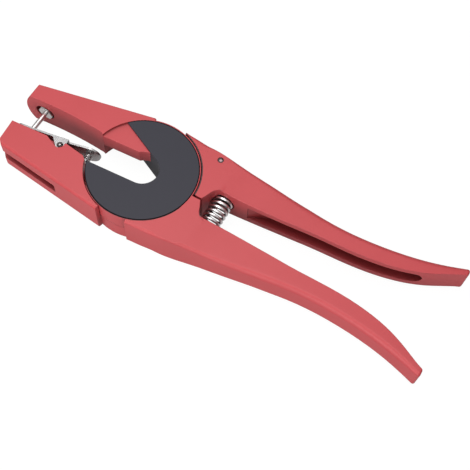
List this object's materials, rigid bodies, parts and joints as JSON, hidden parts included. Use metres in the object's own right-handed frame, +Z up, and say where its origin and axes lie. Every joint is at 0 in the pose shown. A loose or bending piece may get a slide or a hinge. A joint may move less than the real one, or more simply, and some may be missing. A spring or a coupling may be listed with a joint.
{
  "type": "ear tag applicator",
  "caption": "Hand tool with two sprung crossing levers and an open ring pivot, which presses a two-part tag through an animal's ear.",
  "frame": {"origin": "middle of the overall length and width, at the underside the tool lies on; the pivot axis is at x = -45.85 mm, y = -1.87 mm", "axes": "+X from the jaws towards the handles, +Y towards the jaw that carries the pin, +Z up along the pivot axis"},
  "size_m": [0.2493, 0.0674, 0.021],
  "materials": {
    "red_paint": "semi-matt red powder coat on die-cast aluminium",
    "black_coat": "matt black coat on cast metal",
    "screw_steel": "zinc-plated steel",
    "spring_steel": "bright nickel-plated spring steel",
    "pin_steel": "bright plated steel",
    "clip_steel": "bright nickel-plated sheet steel",
    "dark_steel": "dark spring steel"
  },
  "bodies": {
    "clip_side": {"clip_lever": "red_paint", "top_flange": "black_coat", "bottom_flange": "black_coat", "flange_screw_1": "screw_steel", "flange_screw_2": "screw_steel", "flange_screw_3": "screw_steel", "clip_pin": "dark_steel", "roll_pin": "dark_steel", "return_spring": "spring_steel", "clip_spring": "spring_steel"},
    "pin_side": {"pin_lever": "red_paint", "applicator_pin": "pin_steel", "pin_nut": "pin_steel"},
    "clip": {"clip_plate": "clip_steel"}
  },
  "joints": [
    {"name": "lever_pivot", "type": "hinge", "parent": "clip_side", "child": "pin_side", "pos_m": [-0.04585, -0.00187, 0.0105], "axis": [0, 0, 1], "range_deg": [-29, 1.5], "deforming": ["return_spring"]},
    {"name": "clip_hinge", "type": "hinge", "parent": "clip_side", "child": "clip", "pos_m": [-0.09125, -0.01057, 0.0105], "axis": [0, 0, 1], "range_deg": [-12, 0], "stiffness_Nm_per_rad": 0.02, "deforming": ["clip_spring"]}
  ]
}
